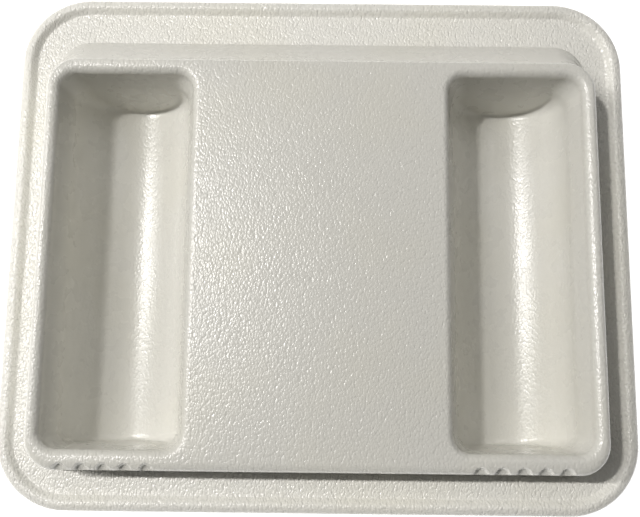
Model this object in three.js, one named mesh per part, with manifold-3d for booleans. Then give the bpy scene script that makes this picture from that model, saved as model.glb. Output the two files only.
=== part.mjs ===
// Pill counting tray: a rimmed base tray with a central well, and a raised counting insert that
// lifts straight out of it. Millimetres, +Z up, +X to the right, +Y to the back.
// The origin is on the standing surface, under the middle of the rim.

import * as THREE from 'three';
import { mergeVertices } from 'three/addons/utils/BufferGeometryUtils.js';
import Module from 'manifold-3d';

const wasm = await Module();
wasm.setup();

// ---- driving dimensions -------------------------------------------------------------------

const OVERALL_WIDTH = 305;
const OVERALL_DEPTH = 255;
const RIM_CORNER_RADIUS = 34;
const SHEET = 2.6;
const SEAT_GAP = 0.3;

const FLANGE_TOP = 24;
const BEAD_WIDTH = 7.8;
const BEAD_RISE = 2.7;
const LIP_DROP = 5;

const DECK_WIDTH = 261;
const DECK_DEPTH = 191.5;
const DECK_SHIFT_Y = -10.25;
const DECK_RISE = 28;
const DECK_CORNER_RADIUS = 14;
const DECK_EDGE_RADIUS = 2.4;
const SIDE_WALL_RUN = 2;
const BACK_WALL_RUN = 18.5;
const BACK_WALL_FLARE = 1.7;

const TROUGH_CENTRE_X = 92.5;
const TROUGH_CENTRE_Y = -9.3;
const TROUGH_LEAN = 1.8;
const TROUGH_WIDTH = 70.6;
const TROUGH_LENGTH = 183;
const TROUGH_DEPTH = 44;
const TROUGH_BOTTOM_RADIUS = 28;
const TROUGH_CORNER_RADIUS = 8;
const TROUGH_EDGE_RADIUS = 3.8;
const TROUGH_WALL_DRAFT = 1.5;

const NOTCHES_PER_TROUGH = 5;
const NOTCH_PITCH = 9.6;
const NOTCH_GROUP_CENTRES = [-94.8, 91.8];
const NOTCH_RADIUS = 3;
const NOTCH_DROP = 4;
const NOTCH_WALL = 2;

const CURB_RISE = 3;
const CURB_CLEARANCE = 0.7;
const WELL_DRAFT = 1.2;
const WELL_FILLET = 2;
const FLOOR_TOP = 5;

const FOOT_RADIUS = 8;
const FOOT_STEM_RADIUS = 2.9;
const FOOT_HEAD_RADIUS = 4.2;
const FOOT_HEAD_HEIGHT = 2;
const FOOT_INSET = 16;

const CORNER_SEGMENTS = 6;

// ---- worked-out sizes ---------------------------------------------------------------------

const DECK_TOP = FLANGE_TOP + DECK_RISE;
const FLOOR_BOTTOM = FLOOR_TOP - SHEET;

// The insert's wall leans outward on the way down: a little at the sides and front, a lot at the
// back, where it also flares.
function insertRing(z, inset, radiusChange = 0) {
  const fall = (DECK_TOP - z) / DECK_RISE;
  const front = DECK_SHIFT_Y - DECK_DEPTH / 2 - SIDE_WALL_RUN * fall + inset;
  const back = DECK_SHIFT_Y + DECK_DEPTH / 2 + BACK_WALL_RUN * fall ** BACK_WALL_FLARE - inset;
  return {
    halfX: DECK_WIDTH / 2 + SIDE_WALL_RUN * fall - inset,
    halfY: (back - front) / 2,
    centreY: (back + front) / 2,
    radius: DECK_CORNER_RADIUS - inset + radiusChange,
    z,
  };
}

// ---- geometry helpers ---------------------------------------------------------------------

// The points of one horizontal rounded rectangle, counter-clockwise seen from above.
function ringPoints({ halfX, halfY, centreX = 0, centreY = 0, radius, z }) {
  const cornerCentres = [[1, 1], [-1, 1], [-1, -1], [1, -1]];
  const r = Math.min(radius, halfX - 0.05, halfY - 0.05);
  const points = [];
  cornerCentres.forEach(([sideX, sideY], corner) => {
    for (let i = 0; i <= CORNER_SEGMENTS; i += 1) {
      const angle = (corner + i / CORNER_SEGMENTS) * (Math.PI / 2);
      const x = centreX + sideX * (halfX - r) + r * Math.cos(angle);
      const y = centreY + sideY * (halfY - r) + r * Math.sin(angle);
      points.push(x, y, z);
    }
  });
  return points;
}

// A closed skin through a chain of rings, with a flat cap on the first and on the last.
// The chain starts on a face that looks down and ends on one that looks up.
function ringLoft(rings) {
  const perRing = 4 * (CORNER_SEGMENTS + 1);
  const positions = rings.flatMap(ringPoints);
  const index = [];
  for (let k = 0; k < rings.length - 1; k += 1) {
    for (let i = 0; i < perRing; i += 1) {
      const next = (i + 1) % perRing;
      const a = k * perRing + i;
      const b = k * perRing + next;
      const c = (k + 1) * perRing + next;
      const d = (k + 1) * perRing + i;
      index.push(a, b, c, a, c, d);
    }
  }
  const top = (rings.length - 1) * perRing;
  for (let i = 1; i < perRing - 1; i += 1) {
    index.push(0, i + 1, i);
    index.push(top, top + i, top + i + 1);
  }
  const geometry = new THREE.BufferGeometry();
  geometry.setAttribute('position', new THREE.Float32BufferAttribute(positions, 3));
  geometry.setIndex(index);
  return geometry;
}

function toSolid(geometry) {
  const bare = geometry.clone();
  bare.deleteAttribute('normal');
  bare.deleteAttribute('uv');
  const merged = mergeVertices(bare, 1e-4);
  return new wasm.Manifold(new wasm.Mesh({
    numProp: 3,
    vertProperties: new Float32Array(merged.attributes.position.array),
    triVerts: new Uint32Array(merged.index.array),
  }));
}

function toGeometry(solid) {
  const mesh = solid.getMesh();
  const geometry = new THREE.BufferGeometry();
  geometry.setAttribute('position', new THREE.Float32BufferAttribute(mesh.vertProperties, 3));
  geometry.setIndex([...mesh.triVerts]);
  geometry.computeVertexNormals();
  return geometry;
}

function uprightCylinder(radius, bottom, top, x, y, sides = 20) {
  const geometry = new THREE.CylinderGeometry(radius, radius, top - bottom, sides);
  geometry.rotateX(Math.PI / 2);
  geometry.translate(x, y, (top + bottom) / 2);
  return geometry;
}

// ---- base tray ----------------------------------------------------------------------------

function rimRing(inset, z) {
  return {
    halfX: OVERALL_WIDTH / 2 - inset,
    halfY: OVERALL_DEPTH / 2 - inset,
    radius: RIM_CORNER_RADIUS - inset,
    z,
  };
}

// The curb stands just inside the insert's skirt, and the well hangs from the curb.
const SKIRT_INSIDE_AT_CURB = insertRing(FLANGE_TOP + CURB_RISE, SHEET);

function wellRing(inset, z) {
  const grow = -CURB_CLEARANCE - inset;
  return {
    halfX: SKIRT_INSIDE_AT_CURB.halfX + grow,
    halfY: SKIRT_INSIDE_AT_CURB.halfY + grow,
    centreY: SKIRT_INSIDE_AT_CURB.centreY,
    radius: Math.max(SKIRT_INSIDE_AT_CURB.radius + grow, 3),
    z,
  };
}

const FOOT_PLACES = [-1, 1].flatMap((sideY) => [-1, 1].map((sideX) => {
  const floor = wellRing(SHEET + WELL_DRAFT, FLOOR_TOP);
  const x = sideX * (floor.halfX - FOOT_INSET);
  const y = floor.centreY + sideY * (floor.halfY - FOOT_INSET);
  const name = `foot_${sideY < 0 ? 'front' : 'rear'}_${sideX < 0 ? 'left' : 'right'}`;
  return { name, x, y };
}));

function baseTray() {
  const hollowInset = 2.2;
  const rings = [
    wellRing(WELL_DRAFT + WELL_FILLET, FLOOR_BOTTOM),
    wellRing(WELL_DRAFT, FLOOR_BOTTOM + WELL_FILLET),
    wellRing(0, FLANGE_TOP - SHEET),
    rimRing(BEAD_WIDTH - hollowInset, FLANGE_TOP - SHEET),
    rimRing(BEAD_WIDTH - hollowInset, FLANGE_TOP),
    rimRing(hollowInset, FLANGE_TOP),
    rimRing(hollowInset, FLANGE_TOP - LIP_DROP),
    rimRing(0, FLANGE_TOP - LIP_DROP),
  ];
  const beadSteps = 8;
  for (let i = 0; i <= beadSteps; i += 1) {
    const angle = (i / beadSteps) * Math.PI;
    const inset = (BEAD_WIDTH / 2) * (1 - Math.cos(angle));
    rings.push(rimRing(inset, FLANGE_TOP + BEAD_RISE * Math.sin(angle)));
  }
  rings.push(
    wellRing(0, FLANGE_TOP),
    wellRing(0, FLANGE_TOP + CURB_RISE),
    wellRing(SHEET, FLANGE_TOP + CURB_RISE),
    wellRing(SHEET + WELL_DRAFT, FLOOR_TOP + WELL_FILLET),
    wellRing(SHEET + WELL_DRAFT + WELL_FILLET, FLOOR_TOP),
  );
  let solid = toSolid(ringLoft(rings));
  FOOT_PLACES.forEach(({ x, y }) => {
    const hole = uprightCylinder(FOOT_STEM_RADIUS + SEAT_GAP, 0, FLOOR_TOP + WELL_FILLET, x, y);
    solid = solid.subtract(toSolid(hole));
  });
  return toGeometry(solid);
}

// ---- counting insert ----------------------------------------------------------------------

// One trough as a plug: a channel along Y with a round bottom and nearly upright end walls.
// grow thickens the plug all round, for the outside of the trough's own sheet.
function troughPlug(side, grow) {
  const top = DECK_TOP;
  const ring = (halfX, halfY, z, flare = 0) => ({
    halfX: halfX + grow + flare,
    halfY: halfY + grow + flare,
    centreX: side * TROUGH_CENTRE_X,
    centreY: TROUGH_CENTRE_Y - (TROUGH_LEAN * (top - z)) / TROUGH_DEPTH,
    radius: Math.min(TROUGH_CORNER_RADIUS, halfX) + grow + flare,
    z,
  });
  const halfLength = TROUGH_LENGTH / 2 - TROUGH_EDGE_RADIUS;
  const halfWidth = TROUGH_WIDTH / 2 - TROUGH_EDGE_RADIUS;
  const arcTop = top - TROUGH_DEPTH + TROUGH_BOTTOM_RADIUS;
  const rings = [];
  const arcSteps = 8;
  for (let i = arcSteps; i >= 0; i -= 1) {
    const angle = (i / (arcSteps + 0.4)) * (Math.PI / 2);
    const drop = TROUGH_BOTTOM_RADIUS * Math.sin(angle);
    const draft = TROUGH_WALL_DRAFT * (1 + drop / TROUGH_BOTTOM_RADIUS);
    rings.push(ring(
      TROUGH_BOTTOM_RADIUS * Math.cos(angle),
      halfLength - draft,
      arcTop - drop - grow * Math.sin(angle),
    ));
  }
  rings.push(ring(halfWidth, halfLength, top - TROUGH_EDGE_RADIUS));
  if (grow > 0) {
    rings.push(ring(halfWidth, halfLength, top - SHEET / 2));
    return ringLoft(rings);
  }
  const edgeSteps = 3;
  for (let i = 1; i <= edgeSteps; i += 1) {
    const angle = (i / edgeSteps) * (Math.PI / 2);
    const flare = TROUGH_EDGE_RADIUS * (1 - Math.cos(angle));
    rings.push(ring(halfWidth, halfLength, top - TROUGH_EDGE_RADIUS * (1 - Math.sin(angle)), flare));
  }
  rings.push(ring(halfWidth, halfLength, top + 1, TROUGH_EDGE_RADIUS));
  return ringLoft(rings);
}

function notchPlaces() {
  return NOTCH_GROUP_CENTRES.flatMap((centre) => {
    const steps = Array.from({ length: NOTCHES_PER_TROUGH }, (_, i) => i - (NOTCHES_PER_TROUGH - 1) / 2);
    return steps.map((step) => centre + step * NOTCH_PITCH);
  });
}

function countingInsert() {
  const footZ = FLANGE_TOP + SEAT_GAP;
  const underDeck = DECK_TOP - SHEET;
  const middle = FLANGE_TOP + DECK_RISE * 0.45;
  const skirtInset = SHEET;
  const rings = [
    insertRing(underDeck, skirtInset + 1),
    insertRing(underDeck - 1, skirtInset),
    insertRing(middle, skirtInset),
    insertRing(footZ, skirtInset),
    insertRing(footZ, -1.2, 1),
    insertRing(footZ + 0.8, -1.0, 1),
    insertRing(footZ + 2.4, 0, 1),
    insertRing(middle, 0),
  ];
  const edgeSteps = 3;
  for (let i = 0; i <= edgeSteps; i += 1) {
    const angle = (i / edgeSteps) * (Math.PI / 2);
    const inset = DECK_EDGE_RADIUS * (1 - Math.cos(angle));
    const z = DECK_TOP - DECK_EDGE_RADIUS * (1 - Math.sin(angle));
    rings.push(insertRing(z, inset));
  }
  const blank = toSolid(ringLoft(rings));
  const outside = toSolid(ringLoft(rings.slice(6)));
  let solid = blank;
  const front = DECK_SHIFT_Y - DECK_DEPTH / 2;
  notchPlaces().forEach((x) => {
    const bossBottom = DECK_TOP - NOTCH_DROP - NOTCH_WALL;
    const boss = uprightCylinder(NOTCH_RADIUS + NOTCH_WALL, bossBottom, DECK_TOP, x, front, 14);
    solid = solid.add(toSolid(boss).intersect(outside));
  });
  [-1, 1].forEach((side) => {
    solid = solid.add(toSolid(troughPlug(side, SHEET)));
  });
  [-1, 1].forEach((side) => {
    solid = solid.subtract(toSolid(troughPlug(side, 0)));
  });
  notchPlaces().forEach((x) => {
    const notch = uprightCylinder(NOTCH_RADIUS, DECK_TOP - NOTCH_DROP, DECK_TOP + 1, x, front, 14);
    solid = solid.subtract(toSolid(notch));
  });
  return toGeometry(solid);
}

// ---- rubber foot --------------------------------------------------------------------------

// A push-in foot: a disc under the floor, a stem through it, and a tapered head that holds it.
function rubberFoot() {
  const discTop = FLOOR_BOTTOM - SEAT_GAP;
  const headBottom = FLOOR_TOP + SEAT_GAP;
  const profile = [
    new THREE.Vector2(0, 0),
    new THREE.Vector2(FOOT_RADIUS - 1, 0),
    new THREE.Vector2(FOOT_RADIUS, discTop / 2),
    new THREE.Vector2(FOOT_RADIUS - 0.4, discTop),
    new THREE.Vector2(FOOT_STEM_RADIUS, discTop),
    new THREE.Vector2(FOOT_STEM_RADIUS, headBottom),
    new THREE.Vector2(FOOT_HEAD_RADIUS, headBottom),
    new THREE.Vector2(FOOT_STEM_RADIUS, headBottom + FOOT_HEAD_HEIGHT),
    new THREE.Vector2(0, headBottom + FOOT_HEAD_HEIGHT),
  ];
  const geometry = new THREE.LatheGeometry(profile, 20);
  geometry.rotateX(Math.PI / 2);
  return geometry;
}

// ---- assembly -----------------------------------------------------------------------------

const shellPlastic = new THREE.MeshStandardMaterial({ color: 0xdedbd2, roughness: 0.45, metalness: 0 });
const insertPlastic = new THREE.MeshStandardMaterial({ color: 0xdcd9cf, roughness: 0.42, metalness: 0 });
const footRubber = new THREE.MeshStandardMaterial({ color: 0x4a4a48, roughness: 0.85, metalness: 0 });

function named(name, geometry, material) {
  const mesh = new THREE.Mesh(geometry, material);
  mesh.name = name;
  return mesh;
}

const baseGroup = new THREE.Group();
baseGroup.add(named('base_tray', baseTray(), shellPlastic));
FOOT_PLACES.forEach(({ name, x, y }) => {
  const foot = named(name, rubberFoot(), footRubber);
  foot.position.set(x, y, 0);
  baseGroup.add(foot);
});

const insertGroup = new THREE.Group();
insertGroup.add(named('counting_insert', countingInsert(), insertPlastic));

const tray = new THREE.Group();
tray.add(baseGroup, insertGroup);

export default tray;
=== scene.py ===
"""Pill counting tray: formed sheet-plastic base tray and lift-out counting insert, on four rubber feet.

Every length is in metres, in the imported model's frame: +X right, +Y back, +Z up.
"""

import math

import bmesh
import bpy
from mathutils import Euler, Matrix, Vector


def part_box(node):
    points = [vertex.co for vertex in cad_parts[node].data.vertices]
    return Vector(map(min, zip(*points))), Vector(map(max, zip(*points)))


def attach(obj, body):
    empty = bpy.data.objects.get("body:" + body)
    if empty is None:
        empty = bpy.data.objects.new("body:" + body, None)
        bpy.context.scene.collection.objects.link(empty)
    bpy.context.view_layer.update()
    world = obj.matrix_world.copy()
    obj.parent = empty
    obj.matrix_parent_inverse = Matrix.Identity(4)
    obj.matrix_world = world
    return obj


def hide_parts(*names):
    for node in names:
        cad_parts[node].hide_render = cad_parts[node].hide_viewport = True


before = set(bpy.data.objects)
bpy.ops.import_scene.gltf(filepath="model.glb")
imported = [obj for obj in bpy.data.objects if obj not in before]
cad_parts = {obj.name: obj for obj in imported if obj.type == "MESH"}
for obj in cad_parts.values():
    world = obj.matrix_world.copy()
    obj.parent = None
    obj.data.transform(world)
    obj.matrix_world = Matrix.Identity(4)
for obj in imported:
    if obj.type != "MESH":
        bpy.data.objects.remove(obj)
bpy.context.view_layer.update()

MM = 0.001

# ---- sizes ---------------------------------------------------------------------------------

RIM_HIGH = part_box("base_tray")[1]
INSERT_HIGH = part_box("counting_insert")[1]

SHEET = 2.6 * MM
RIM_HALF_X = RIM_HIGH.x
RIM_HALF_Y = RIM_HIGH.y
RIM_CORNER_RADIUS = 34 * MM
BEAD_WIDTH = 7.8 * MM
BEAD_RISE = 2.7 * MM
BEAD_HOLLOW_INSET = 2.2 * MM
BEAD_CREST_SHARE = 0.44
BEAD_FALL_POWER = 1.35
EDGE_ROUND = 0.8 * MM
LIP_DROP = 5 * MM
FLANGE_TOP = RIM_HIGH.z - BEAD_RISE

DECK_TOP = INSERT_HIGH.z
DECK_RISE = DECK_TOP - FLANGE_TOP
DECK_HALF_X = 130.5 * MM
DECK_FRONT = -106 * MM
DECK_BACK = 85.5 * MM
DECK_CORNER_RADIUS = 14 * MM
DECK_EDGE_DROP = 2.6 * MM
DECK_EDGE_SIDE = 2.4 * MM
DECK_EDGE_FRONT = 3.9 * MM
DECK_EDGE_BACK = 1.3 * MM
SIDE_WALL_RUN = 2 * MM
BACK_WALL_RUN = 18.5 * MM
BACK_WALL_FLARE = 1.7
FOOT_LIP = 1.2 * MM
SEAT_GAP = 0.3 * MM
INSERT_FOOT_Z = FLANGE_TOP + SEAT_GAP

TROUGH_CENTRE_X = 92.5 * MM
TROUGH_CENTRE_Y = -9.3 * MM
TROUGH_LEAN = 1.8 * MM
TROUGH_HALF_X = 35.3 * MM
TROUGH_HALF_Y = 91.5 * MM
TROUGH_DEPTH = 44 * MM
TROUGH_BOTTOM_RADIUS = 28 * MM
TROUGH_EDGE_RADIUS = 3.8 * MM
TROUGH_WALL_DRAFT = 1.5 * MM
TROUGH_CORNER_TOP = 8 * MM
TROUGH_CORNER_BOTTOM = 3 * MM
TROUGH_END_FILLET = 2.4 * MM

NOTCHES_PER_TROUGH = 5
NOTCH_PITCH = 9.6 * MM
NOTCH_GROUP_CENTRES = (-94.8 * MM, 91.8 * MM)
NOTCH_HALF_WIDTH = 3.6 * MM
NOTCH_DEPTH = 3.4 * MM
NOTCH_BACK_DROP = 3 * MM
NOTCH_BACK_SHARE = 0.3
NOTCH_FLOOR_DROP = 1.2 * MM
NOTCH_BACK_WIDEN = NOTCH_HALF_WIDTH * 0.5
NOTCH_PLACES = [
    centre + (i - (NOTCHES_PER_TROUGH - 1) / 2) * NOTCH_PITCH
    for centre in NOTCH_GROUP_CENTRES
    for i in range(NOTCHES_PER_TROUGH)
]

CURB_RISE = 3 * MM
CURB_CLEARANCE = 0.7 * MM
CURB_FOOT = ((-1.6 * MM, 0), (-0.5 * MM, 0.15 * MM), (0, EDGE_ROUND))
WELL_DRAFT = 1.2 * MM
WELL_FILLET = 2 * MM
FLOOR_TOP = 5 * MM
FLOOR_BOTTOM = FLOOR_TOP - SHEET

FEET = [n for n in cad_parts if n.startswith("foot_")]
FOOT_HOLE_RADIUS = 3.2 * MM
FOOT_STEM_RADIUS = 2.9 * MM
FOOT_HEAD_RADIUS = 4.2 * MM

# How far below the deck the insert's wall has its rings: closest together where the notches end.
INSIDE_RING_DROPS = (3.8, 4.2, 4.6, 5, 5.4, 5.8, 6.4, 8, 12, 17, 22)
OUTSIDE_RING_DROPS = (23, 20, 17, 14, 11, 8, 6, 5, 4.3, 4.2, 4.0, 3.7, 3.4, 3.2, 3.0, 2.8)


# ---- mesh helpers --------------------------------------------------------------------------


def rounded_rectangle(half_x, half_y, radius, z, centre=(0, 0), corner=14, sides=(8, 8, 8, 8)):
    """One level ring, counter-clockwise from above, starting at the back end of the right side.

    sides is how many steps the back, left, front and right straights are divided into."""
    radius = min(radius, half_x * 0.98, half_y * 0.98)
    corners = ((1, 1), (-1, 1), (-1, -1), (1, -1))
    arcs = []
    for k, (side_x, side_y) in enumerate(corners):
        middle = Vector((centre[0] + side_x * (half_x - radius), centre[1] + side_y * (half_y - radius), z))
        angles = [(k + i / corner) * math.pi / 2 for i in range(corner + 1)]
        arcs.append([middle + radius * Vector((math.cos(a), math.sin(a), 0)) for a in angles])
    points = []
    for k, arc in enumerate(arcs):
        points += arc
        start, end = arc[-1], arcs[(k + 1) % 4][0]
        points += [start.lerp(end, i / sides[k]) for i in range(1, sides[k])]
    return points


def add_ring(bm, points):
    return [bm.verts.new(p) for p in points]


def skin(bm, rings):
    """Quads between each ring of vertices and the next."""
    for low, high in zip(rings, rings[1:]):
        count = len(low)
        for i in range(count):
            j = (i + 1) % count
            bm.faces.new((low[i], low[j], high[j], high[i]))


def fill(bm, *loops):
    """A flat face inside the first loop of vertices, with the other loops as its holes."""
    edges = []
    for loop in loops:
        for a, b in zip(loop, loop[1:] + loop[:1]):
            edges.append(bm.edges.get((a, b)) or bm.edges.new((a, b)))
    bmesh.ops.triangle_fill(bm, edges=edges, use_beauty=True, normal=(0, 0, 1))


def finish_mesh(name, bm, sharp_angle=38):
    """A closed shell with outward faces, shaded smooth up to the sharp angle in degrees."""
    bmesh.ops.recalc_face_normals(bm, faces=bm.faces[:])
    mesh = bpy.data.meshes.new(name)
    bm.to_mesh(mesh)
    bm.free()
    mesh.shade_smooth()
    mesh.set_sharp_from_angle(angle=math.radians(sharp_angle))
    obj = bpy.data.objects.new(name, mesh)
    bpy.context.scene.collection.objects.link(obj)
    return obj


def quarter(steps, start=0.0, end=90.0):
    """Evenly spaced angles in radians from start to end, both in degrees."""
    return [math.radians(start + (end - start) * i / steps) for i in range(steps + 1)]


# ---- base tray -----------------------------------------------------------------------------


def rim_ring(inset, z):
    return rounded_rectangle(
        RIM_HALF_X - inset, RIM_HALF_Y - inset, RIM_CORNER_RADIUS - inset, z, corner=28
    )


def insert_outline(z, inset, edge=0.0):
    """Half width, front, back and corner radius of the insert's wall at a height, moved in by inset.

    edge is how far round the deck's edge the ring lies: 0 on the wall, 1 on the deck."""
    fall = (DECK_TOP - z) / DECK_RISE
    half_x = DECK_HALF_X + SIDE_WALL_RUN * fall - inset - DECK_EDGE_SIDE * edge
    front = DECK_FRONT - SIDE_WALL_RUN * fall + inset + DECK_EDGE_FRONT * edge
    back = DECK_BACK + BACK_WALL_RUN * fall**BACK_WALL_FLARE - inset - DECK_EDGE_BACK * edge
    return half_x, front, back, DECK_CORNER_RADIUS - inset - DECK_EDGE_SIDE * edge


def well_ring(inset, z):
    half_x, front, back, radius = insert_outline(FLANGE_TOP + CURB_RISE, SHEET + CURB_CLEARANCE + inset)
    centre = (0, (front + back) / 2)
    return rounded_rectangle(half_x, (back - front) / 2, max(radius, 3 * MM), z, centre, corner=28)


def fillet(make_ring, inset, z, radius, start, end, steps=6):
    """Rings round a corner whose arc is centred at (inset, z), from one angle to another in degrees.

    The angle is measured in the profile's plane, from outward towards up."""
    angles = quarter(steps, start, end)
    return [make_ring(inset - radius * math.cos(a), z + radius * math.sin(a)) for a in angles]


def foot_centre(name):
    low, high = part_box(name)
    return (low.x + high.x) / 2, (low.y + high.y) / 2


def circle(centre, radius, z, steps=32):
    angles = [2 * math.pi * i / steps for i in range(steps)]
    return [Vector((centre[0] + radius * math.cos(a), centre[1] + radius * math.sin(a), z)) for a in angles]


def make_base_tray():
    hollow = BEAD_WIDTH / 2 - BEAD_HOLLOW_INSET
    rings = fillet(well_ring, WELL_DRAFT + WELL_FILLET, FLOOR_BOTTOM + WELL_FILLET, WELL_FILLET, -90, 0, 8)
    rings.append(well_ring(0, FLANGE_TOP - SHEET - 2 * MM))
    rings.append(well_ring(-0.6 * MM, FLANGE_TOP - SHEET - 0.6 * MM))
    rings.append(well_ring(-2 * MM, FLANGE_TOP - SHEET))
    rings.append(rim_ring(BEAD_WIDTH - BEAD_HOLLOW_INSET + 1 * MM, FLANGE_TOP - SHEET))
    rings.append(rim_ring(BEAD_WIDTH - BEAD_HOLLOW_INSET, FLANGE_TOP - SHEET + 1 * MM))
    for a in quarter(10, 180, 0):
        rings.append(rim_ring(BEAD_WIDTH / 2 - hollow * math.cos(a), FLANGE_TOP + hollow * math.sin(a) * 0.9))
    lip_low = FLANGE_TOP - LIP_DROP + EDGE_ROUND
    lip_middle = BEAD_HOLLOW_INSET / 2
    rings.append(rim_ring(BEAD_HOLLOW_INSET, lip_low))
    for a in quarter(10, 0, 180):
        rings.append(rim_ring(lip_middle + lip_middle * math.cos(a), lip_low - EDGE_ROUND * math.sin(a)))
    crest_inset = BEAD_WIDTH * BEAD_CREST_SHARE
    for a in quarter(12):
        rings.append(rim_ring(crest_inset * (1 - math.cos(a)), FLANGE_TOP + BEAD_RISE * math.sin(a)))
    fall_steps = 18
    for i in range(1, fall_steps + 1):
        inset = crest_inset + (BEAD_WIDTH - crest_inset) * i / fall_steps
        fall = (1 - math.cos(math.pi * (i / fall_steps) ** BEAD_FALL_POWER)) / 2
        rings.append(rim_ring(inset, FLANGE_TOP + BEAD_RISE * (1 - fall)))
    rings.append(rim_ring(BEAD_WIDTH + 2 * MM, FLANGE_TOP))
    rings += [well_ring(inset, FLANGE_TOP + rise) for inset, rise in CURB_FOOT]
    curb_shoulder = FLANGE_TOP + CURB_RISE - EDGE_ROUND
    rings += fillet(well_ring, EDGE_ROUND, curb_shoulder, EDGE_ROUND, 0, 90)
    rings += fillet(well_ring, SHEET - EDGE_ROUND, curb_shoulder, -EDGE_ROUND, -90, 0)
    floor_inset = SHEET + WELL_DRAFT
    rings += [
        well_ring(floor_inset + WELL_FILLET * (1 - math.cos(a)), FLOOR_TOP + WELL_FILLET * (1 - math.sin(a)))
        for a in quarter(8)
    ]
    bm = bmesh.new()
    made = [add_ring(bm, r) for r in rings]
    skin(bm, made)
    hole_tops, hole_bottoms = [], []
    for name in FEET:
        centre = foot_centre(name)
        holes = [add_ring(bm, circle(centre, FOOT_HOLE_RADIUS, z)) for z in (FLOOR_BOTTOM, FLOOR_TOP)]
        skin(bm, holes)
        hole_bottoms.append(holes[0])
        hole_tops.append(holes[1])
    fill(bm, made[0], *hole_bottoms)
    fill(bm, made[-1], *hole_tops)
    return finish_mesh("base_tray_shell", bm)


# ---- counting insert -----------------------------------------------------------------------


def notch_inset(x, z, widen=0.0):
    """How far the grip notches push the front wall in at a point of it: a steep back, then a sloped floor."""
    nearest = min(abs(x - place) for place in NOTCH_PLACES) / (NOTCH_HALF_WIDTH + widen)
    if nearest >= 1:
        return 0.0
    drop = DECK_TOP - z - widen
    back = min(max(drop / NOTCH_BACK_DROP, 0.0), 1.0)
    floor = min(max((drop - NOTCH_BACK_DROP) / NOTCH_FLOOR_DROP, 0.0), 1.0)
    reach = 1 - NOTCH_BACK_SHARE * back - (1 - NOTCH_BACK_SHARE) * floor
    return NOTCH_DEPTH * reach * (1 - nearest**2.2) ** 0.8


def insert_ring(z, inset, edge=0.0, widen=0.0):
    half_x, front, back, radius = insert_outline(z, inset, edge)
    centre = (0, (front + back) / 2)
    points = rounded_rectangle(
        half_x, (back - front) / 2, radius, z, centre, corner=16, sides=(24, 24, 560, 24)
    )
    for p in points:
        if abs(p.y - front) < 1e-7:
            p.y += max(0.0, notch_inset(p.x, z, widen) - DECK_EDGE_FRONT * edge)
    return points


def end_fillet_inset(above_bottom):
    """How far the fillet at the foot of a trough's end wall stands in from that wall."""
    if above_bottom >= TROUGH_END_FILLET:
        return 0.0
    return TROUGH_END_FILLET - math.sqrt(TROUGH_END_FILLET**2 - (TROUGH_END_FILLET - above_bottom) ** 2)


def trough_ring(side, depth, half_x, half_y, corner, grow=0.0, angle=0.0):
    """One ring of a trough's skin, grow outward along a normal that points angle below level."""
    half_x += grow * math.cos(angle)
    corner = min(corner + grow, half_x)
    z = DECK_TOP - depth - grow * math.sin(angle)
    centre = (side * TROUGH_CENTRE_X, TROUGH_CENTRE_Y - TROUGH_LEAN * depth / TROUGH_DEPTH)
    return rounded_rectangle(half_x, half_y + grow, corner, z, centre, corner=12, sides=(6, 24, 6, 24))


def trough_rings(side, grow):
    """The trough's skin from the deck down: rounded edge, nearly upright wall, round bottom.

    grow moves it outward, for the outside of the sheet."""
    wall_x = TROUGH_HALF_X - TROUGH_EDGE_RADIUS
    wall_y = TROUGH_HALF_Y - TROUGH_EDGE_RADIUS
    arc_depth = TROUGH_DEPTH - TROUGH_BOTTOM_RADIUS
    rings = []
    if grow:
        rings.append(trough_ring(side, SHEET, wall_x, wall_y, TROUGH_CORNER_TOP, grow))
    else:
        for a in quarter(8):
            out = TROUGH_EDGE_RADIUS * (1 - math.sin(a))
            depth = TROUGH_EDGE_RADIUS * (1 - math.cos(a))
            rings.append(trough_ring(side, depth, wall_x + out, wall_y + out, TROUGH_CORNER_TOP + out))
    start = max(TROUGH_EDGE_RADIUS, SHEET if grow else 0)
    steps = 8
    for i in range(1, steps):
        t = i / steps
        depth = start + (arc_depth - start) * t
        half_x = TROUGH_BOTTOM_RADIUS + (wall_x - TROUGH_BOTTOM_RADIUS) * (1 - t) ** 1.6
        half_y = wall_y - TROUGH_WALL_DRAFT * t
        rings.append(trough_ring(side, depth, half_x, half_y, TROUGH_CORNER_TOP, grow))
    for a in quarter(40, 0, 88.6):
        drop = TROUGH_BOTTOM_RADIUS * math.sin(a)
        half_x = TROUGH_BOTTOM_RADIUS * math.cos(a)
        fillet_inset = end_fillet_inset(TROUGH_BOTTOM_RADIUS - drop)
        half_y = wall_y - TROUGH_WALL_DRAFT * (1 + math.sin(a)) - fillet_inset
        corner = TROUGH_CORNER_TOP + (TROUGH_CORNER_BOTTOM - TROUGH_CORNER_TOP) * math.sin(a)
        rings.append(trough_ring(side, arc_depth + drop, half_x, half_y, corner, grow, a))
    return rings


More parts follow.
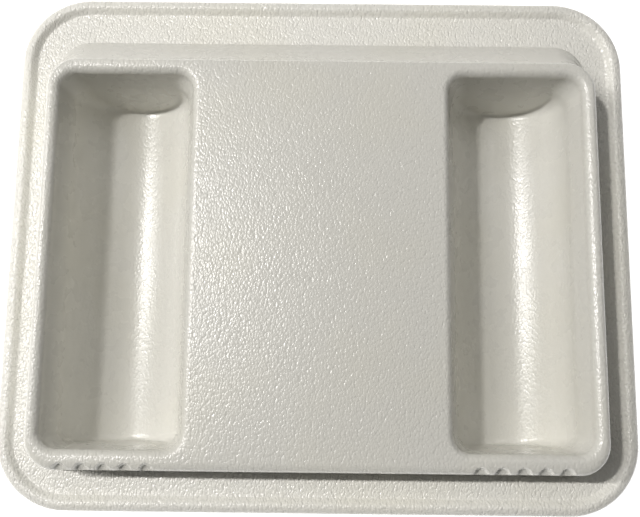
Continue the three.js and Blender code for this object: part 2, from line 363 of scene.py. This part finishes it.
def make_counting_insert():
    under_deck = DECK_TOP - SHEET
    rings = [insert_ring(under_deck, SHEET, 0.45, NOTCH_BACK_WIDEN)]
    for a in quarter(5, 90, 0):
        z = under_deck - DECK_EDGE_DROP * 0.35 * (1 - math.sin(a))
        rings.append(insert_ring(z, SHEET, 0.35 * (1 - math.cos(a)), NOTCH_BACK_WIDEN))
    for step in INSIDE_RING_DROPS:
        rings.append(insert_ring(DECK_TOP - step * MM, SHEET, 0, NOTCH_BACK_WIDEN))
    lip_top = INSERT_FOOT_Z + 2.4 * MM
    rings.append(insert_ring(lip_top, SHEET))
    rings.append(insert_ring(INSERT_FOOT_Z + 0.3 * MM, SHEET - 0.2 * MM))
    rings.append(insert_ring(INSERT_FOOT_Z, SHEET - 0.6 * MM))
    rings.append(insert_ring(INSERT_FOOT_Z, -FOOT_LIP + 0.4 * MM))
    rings.append(insert_ring(INSERT_FOOT_Z + 0.15 * MM, -FOOT_LIP + 0.08 * MM))
    for a in quarter(6):
        z = INSERT_FOOT_Z + 0.35 * MM + 2 * MM * math.sin(a) ** 1.5
        rings.append(insert_ring(z, -FOOT_LIP * math.cos(a)))
    for step in OUTSIDE_RING_DROPS:
        rings.append(insert_ring(DECK_TOP - step * MM, 0))
    for a in quarter(14):
        rings.append(insert_ring(DECK_TOP - DECK_EDGE_DROP * (1 - math.sin(a)), 0, 1 - math.cos(a)))
    bm = bmesh.new()
    made = [add_ring(bm, r) for r in rings]
    skin(bm, made)
    tops, unders = [], []
    for side in (-1, 1):
        inside = [add_ring(bm, r) for r in trough_rings(side, 0)]
        outside = [add_ring(bm, r) for r in trough_rings(side, SHEET)]
        for chain in (inside, outside):
            skin(bm, chain)
            fill(bm, chain[-1])
        tops.append(inside[0])
        unders.append(outside[0])
    fill(bm, made[-1], *tops)
    fill(bm, made[0], *unders)
    return finish_mesh("counting_insert_shell", bm)


# ---- rubber feet ---------------------------------------------------------------------------


def make_foot(name):
    """A push-in foot: a soft disc with a shallow ring in its face, a stem and a tapered head."""
    low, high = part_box(name)
    centre = foot_centre(name)
    radius = (high.x - low.x) / 2
    disc_top = FLOOR_BOTTOM - 0.3 * MM
    head_bottom = FLOOR_TOP + 0.3 * MM
    stem = FOOT_STEM_RADIUS
    head = FOOT_HEAD_RADIUS
    profile = [
        (1.2 * MM, 0.5 * MM), (2.6 * MM, 0.5 * MM), (3.1 * MM, 0.1 * MM), (3.4 * MM, 0),
        (radius - 1.5 * MM, 0), (radius - 0.9 * MM, 0.08 * MM), (radius - 0.4 * MM, 0.4 * MM),
        (radius - 0.06 * MM, 0.9 * MM), (radius, 1.3 * MM),
        (radius - 0.1 * MM, disc_top - 0.3 * MM), (radius - 0.4 * MM, disc_top),
        (stem + 0.4 * MM, disc_top), (stem, disc_top + 0.3 * MM), (stem, head_bottom - 0.1 * MM),
        (head - 0.3 * MM, head_bottom), (head, head_bottom + 0.25 * MM),
        (head - 0.1 * MM, head_bottom + 0.6 * MM),
        (stem - 0.2 * MM, high.z - 0.2 * MM), (stem - 0.6 * MM, high.z),
    ]
    bm = bmesh.new()
    rings = [add_ring(bm, circle(centre, r, z, 48)) for r, z in profile]
    skin(bm, rings)
    fill(bm, rings[0])
    fill(bm, rings[-1])
    return finish_mesh(name + "_bumper", bm)


# ---- materials -----------------------------------------------------------------------------


class Nodes:
    """Short calls for building one material's node tree."""

    def __init__(self, name):
        self.material = bpy.data.materials.new(name)
        self.material.use_nodes = True
        self.tree = self.material.node_tree
        self.shader = self.tree.nodes["Principled BSDF"]

    def add(self, kind, **settings):
        node = self.tree.nodes.new("ShaderNode" + kind)
        for key, value in settings.items():
            setattr(node, key, value)
        return node

    def link(self, output, target):
        self.tree.links.new(output, target)

    def math(self, operation, a, b=None, clamp=False):
        node = self.add("Math", operation=operation, use_clamp=clamp)
        for socket, value in zip(node.inputs, (a, b)):
            self.feed(value, socket)
        return node.outputs[0]

    def feed(self, value, socket):
        if value is None:
            return
        if isinstance(value, (int, float, tuple)):
            socket.default_value = value
        else:
            self.link(value, socket)

    def ramp(self, value, low, high, out_low, out_high):
        node = self.add("MapRange", interpolation_type="SMOOTHSTEP")
        for socket, v in zip(node.inputs, (value, low, high, out_low, out_high)):
            self.feed(v, socket)
        return node.outputs[0]

    def mapped(self, vector, scale, rotation=(0, 0, 0)):
        node = self.add("Mapping")
        self.link(vector, node.inputs["Vector"])
        node.inputs["Scale"].default_value = scale
        node.inputs["Rotation"].default_value = rotation
        return node.outputs[0]

    def noise(self, vector, scale, detail=2.0, roughness=0.5):
        node = self.add("TexNoise")
        self.link(vector, node.inputs["Vector"])
        node.inputs["Scale"].default_value = scale
        node.inputs["Detail"].default_value = detail
        node.inputs["Roughness"].default_value = roughness
        return node

    def cells(self, vector, scale):
        """Distance to the nearest point of a scatter, which makes round pebbles."""
        node = self.add("TexVoronoi", feature="F1")
        self.link(vector, node.inputs["Vector"])
        node.inputs["Scale"].default_value = scale
        return node.outputs["Distance"]

    def mix_colour(self, factor, a, b):
        node = self.add("Mix", data_type="RGBA")
        self.feed(factor, node.inputs[0])
        self.feed(a, node.inputs[6])
        self.feed(b, node.inputs[7])
        return node.outputs[2]


GRAIN_SQUASH = (1.0, 0.7, 0.5)
GRAIN_TURN = math.radians(25)
GRAIN_HEIGHT = 0.24 * MM
PEBBLES_PER_METRE = 950
FINE_PER_METRE = 1900
FINE_SHARE = 0.15
WARP_PER_METRE = 620
WARP_REACH = 0.0007
UPRIGHT_GRAIN = 0.4
STRETCHED_GRAIN = 0.4


def sheet_plastic(name, colour, grain, fade_below=None, fade_depth=9 * MM):
    """Off-white formed sheet with a haircell grain.

    The grain is full on level faces, weaker and drawn out on upright ones. Below fade_below it
    dies away over fade_depth, where the sheet was stretched into the troughs or the well."""
    n = Nodes(name)
    place = n.add("TexCoord")
    where = place.outputs["Object"]
    grain_space = n.mapped(where, GRAIN_SQUASH, (0, 0, GRAIN_TURN))
    warp = n.noise(grain_space, WARP_PER_METRE, 1.0)
    warped = n.add("MixRGB", blend_type="LINEAR_LIGHT")
    warped.inputs[0].default_value = WARP_REACH
    n.link(grain_space, warped.inputs[1])
    n.link(warp.outputs["Color"], warped.inputs[2])
    pebbles = n.cells(warped.outputs[0], PEBBLES_PER_METRE)
    fine = n.noise(grain_space, FINE_PER_METRE, 1.0).outputs["Fac"]
    domes = n.math("MULTIPLY", pebbles, pebbles)
    height = n.math("SUBTRACT", n.math("MULTIPLY", fine, FINE_SHARE), domes)
    facing = n.add("SeparateXYZ")
    n.link(place.outputs["Normal"], facing.inputs[0])
    level = n.ramp(n.math("ABSOLUTE", facing.outputs[2]), 0.2, 0.95, UPRIGHT_GRAIN, 1.0)
    strength = level
    if fade_below is not None:
        split = n.add("SeparateXYZ")
        n.link(where, split.inputs[0])
        shallow = n.ramp(split.outputs[2], fade_below - fade_depth, fade_below, STRETCHED_GRAIN, 1.0)
        strength = n.math("MULTIPLY", level, shallow)
    bump = n.add("Bump")
    bump.inputs["Distance"].default_value = GRAIN_HEIGHT
    n.link(n.math("MULTIPLY", strength, grain), bump.inputs["Strength"])
    n.link(height, bump.inputs["Height"])
    n.link(bump.outputs[0], n.shader.inputs["Normal"])

    blotch = n.noise(where, 22, 3.0).outputs["Fac"]
    # Painted shade: the base colour is darkened in the grain's creases between the pebbles, where shade
    # falls, less so where the grain is weaker.
    crease_shade_colour = tuple(c * 0.93 for c in colour) + (1,)
    crease_shade = n.math("MULTIPLY", n.ramp(pebbles, 0.25, 0.75, 0.0, 0.55), strength)
    tint = n.mix_colour(crease_shade, colour + (1,), crease_shade_colour)
    warmer = (colour[0] * 0.985, colour[1] * 0.98, colour[2] * 0.955, 1)
    tint = n.mix_colour(n.ramp(blotch, 0.4, 0.7, 0.0, 0.8), tint, warmer)
    n.link(tint, n.shader.inputs["Base Color"])
    shine = n.noise(where, 90, 3.0).outputs["Fac"]
    n.link(n.ramp(shine, 0.3, 0.7, 0.25, 0.32), n.shader.inputs["Roughness"])
    n.shader.inputs["IOR"].default_value = 1.58
    return n.material


def foot_rubber(name):
    """Dull dark grey rubber with a fine mould grain and a little dust."""
    n = Nodes(name)
    where = n.add("TexCoord").outputs["Object"]
    speckle = n.noise(where, 900, 3.0).outputs["Fac"]
    bump = n.add("Bump")
    bump.inputs["Strength"].default_value = 0.5
    bump.inputs["Distance"].default_value = 0.05 * MM
    n.link(speckle, bump.inputs["Height"])
    n.link(bump.outputs[0], n.shader.inputs["Normal"])
    dust = n.noise(where, 160, 4.0).outputs["Fac"]
    dusty = n.ramp(dust, 0.45, 0.75, 0.0, 0.6)
    tint = n.mix_colour(dusty, (0.035, 0.035, 0.033, 1), (0.075, 0.072, 0.066, 1))
    n.link(tint, n.shader.inputs["Base Color"])
    n.link(n.ramp(dust, 0.3, 0.7, 0.68, 0.85), n.shader.inputs["Roughness"])
    return n.material


BASE_COLOUR = (0.88, 0.87, 0.822)
INSERT_COLOUR = (0.77, 0.762, 0.715)


def build_object():
    base = make_base_tray()
    base.data.materials.append(sheet_plastic("base_plastic", BASE_COLOUR, 1.3, FLANGE_TOP - 1 * MM))
    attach(base, "base")
    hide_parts("base_tray")

    insert = make_counting_insert()
    insert.data.materials.append(sheet_plastic("insert_plastic", INSERT_COLOUR, 0.7, DECK_TOP - 1 * MM))
    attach(insert, "insert")
    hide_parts("counting_insert")

    rubber = foot_rubber("foot_rubber")
    for name in FEET:
        foot = make_foot(name)
        foot.data.materials.append(rubber)
        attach(foot, "base")
        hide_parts(name)
    cad_plastic = sheet_plastic("cad_plastic", INSERT_COLOUR, 0.8)
    for name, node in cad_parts.items():
        node.data.materials.clear()
        node.data.materials.append(rubber if name in FEET else cad_plastic)


# ---- floor, lights and camera --------------------------------------------------------------


def make_floor():
    """A plain pale disc just under the feet, with a low coved edge far away that hides the horizon."""
    flat_radius = 12.0
    cove_radius = 0.8
    level = -0.05 * MM
    profile = [
        (flat_radius + cove_radius * math.sin(a), level + cove_radius * (1 - math.cos(a)))
        for a in quarter(12)
    ]
    bm = bmesh.new()
    rings = [add_ring(bm, circle((0, 0), r, z, 96)) for r, z in profile]
    skin(bm, rings)
    fill(bm, rings[0])
    floor = finish_mesh("floor", bm)
    n = Nodes("pale_floor")
    n.shader.inputs["Base Color"].default_value = (0.9, 0.9, 0.9, 1)
    n.shader.inputs["Roughness"].default_value = 0.7
    n.shader.inputs["Emission Color"].default_value = (1, 1, 1, 1)
    n.shader.inputs["Emission Strength"].default_value = 0.85
    floor.data.materials.append(n.material)


PANEL_HEIGHT = 2.0


def ceiling_panel(name, x, y, size, power):
    """A level panel high above the table, facing straight down."""
    light = bpy.data.lights.new(name, "AREA")
    light.shape = "RECTANGLE"
    light.size, light.size_y = size
    light.energy = power
    light.color = (1.0, 0.98, 0.95)
    obj = bpy.data.objects.new(name, light)
    obj.location = (x, y, PANEL_HEIGHT)
    bpy.context.scene.collection.objects.link(obj)


def light_scene():
    world = bpy.data.worlds.new("studio")
    bpy.context.scene.world = world
    world.use_nodes = True
    backdrop = world.node_tree.nodes["Background"]
    backdrop.inputs["Color"].default_value = (1.0, 0.995, 0.985, 1)
    backdrop.inputs["Strength"].default_value = 0.01
    ceiling_panel("key", -1.0, 0.36, (0.14, 0.06), 21)
    ceiling_panel("long_strip", -2.2, 0.36, (2.0, 0.1), 52)
    ceiling_panel("near_strip", -1.0, -0.1, (0.6, 0.2), 2)
    ceiling_panel("rear", -0.9, 1.8, (1.0, 0.6), 5)
    ceiling_panel("right", 1.2, 0.9, (0.8, 1.2), 5)


def make_camera():
    """Looks down from a little in front, about nine degrees off the vertical."""
    data = bpy.data.cameras.new("camera")
    data.sensor_width = 36
    data.lens = 45.42
    data.clip_start = 0.01
    camera = bpy.data.objects.new("camera", data)
    camera.location = (1.7 * MM, -67.8 * MM, 417.4 * MM)
    camera.rotation_euler = Euler((math.radians(8.91), math.radians(0.095), math.radians(0.654)))
    bpy.context.scene.collection.objects.link(camera)
    bpy.context.scene.camera = camera


build_object()
make_floor()
light_scene()
make_camera()
bpy.context.scene.view_settings.view_transform = "Standard"
